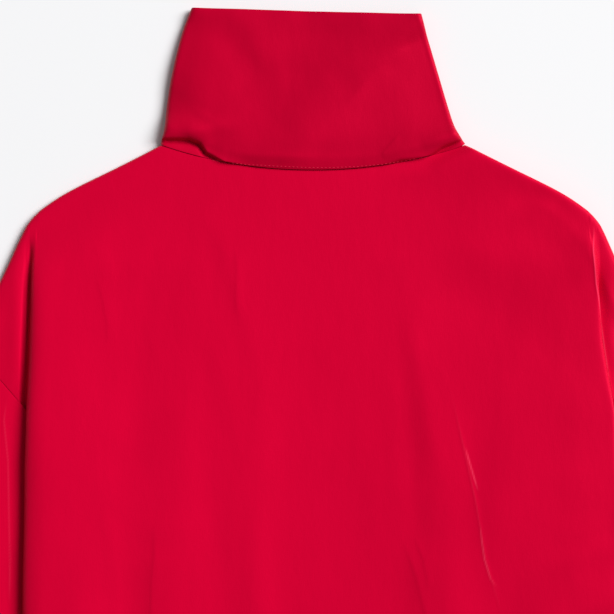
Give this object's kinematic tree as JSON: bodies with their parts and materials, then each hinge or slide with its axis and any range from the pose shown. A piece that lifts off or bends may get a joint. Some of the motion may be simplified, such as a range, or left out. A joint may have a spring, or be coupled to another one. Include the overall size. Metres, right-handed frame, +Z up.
{
  "type": "jacket",
  "caption": "Plain zip-up jacket with a tall stand collar and dropped shoulders, laid out flat on its front with the back up.",
  "frame": {"origin": "middle of the jacket's outline, on the surface that it lies on", "axes": "+Z up from the surface through the front to the back, +Y from the hem towards the collar, +X towards the wearer's right sleeve"},
  "size_m": [0.7382, 0.7728, 0.0165],
  "materials": {
    "cloth": "smooth satin woven nylon, bright red",
    "zip_tape": "woven tape with a plastic coil, red",
    "zip_plastic": "moulded plastic, red",
    "zip_metal": "plated metal"
  },
  "bodies": {
    "jacket": {"back": "cloth", "front_left": "cloth", "front_right": "cloth", "sleeve_left": "cloth", "sleeve_right": "cloth", "collar": "cloth", "zip_tape_left": "zip_tape", "zip_tape_right": "zip_tape", "zip_box": "zip_plastic", "slider": "zip_metal"},
    "pull_tab": {"pull_tab": "zip_metal"}
  },
  "joints": [
    {"name": "pull_tab_swing", "type": "hinge", "parent": "jacket", "child": "pull_tab", "pos_m": [0, 0.325, 0.00255], "axis": [1, 0, 0], "range_deg": [0, 180]}
  ]
}
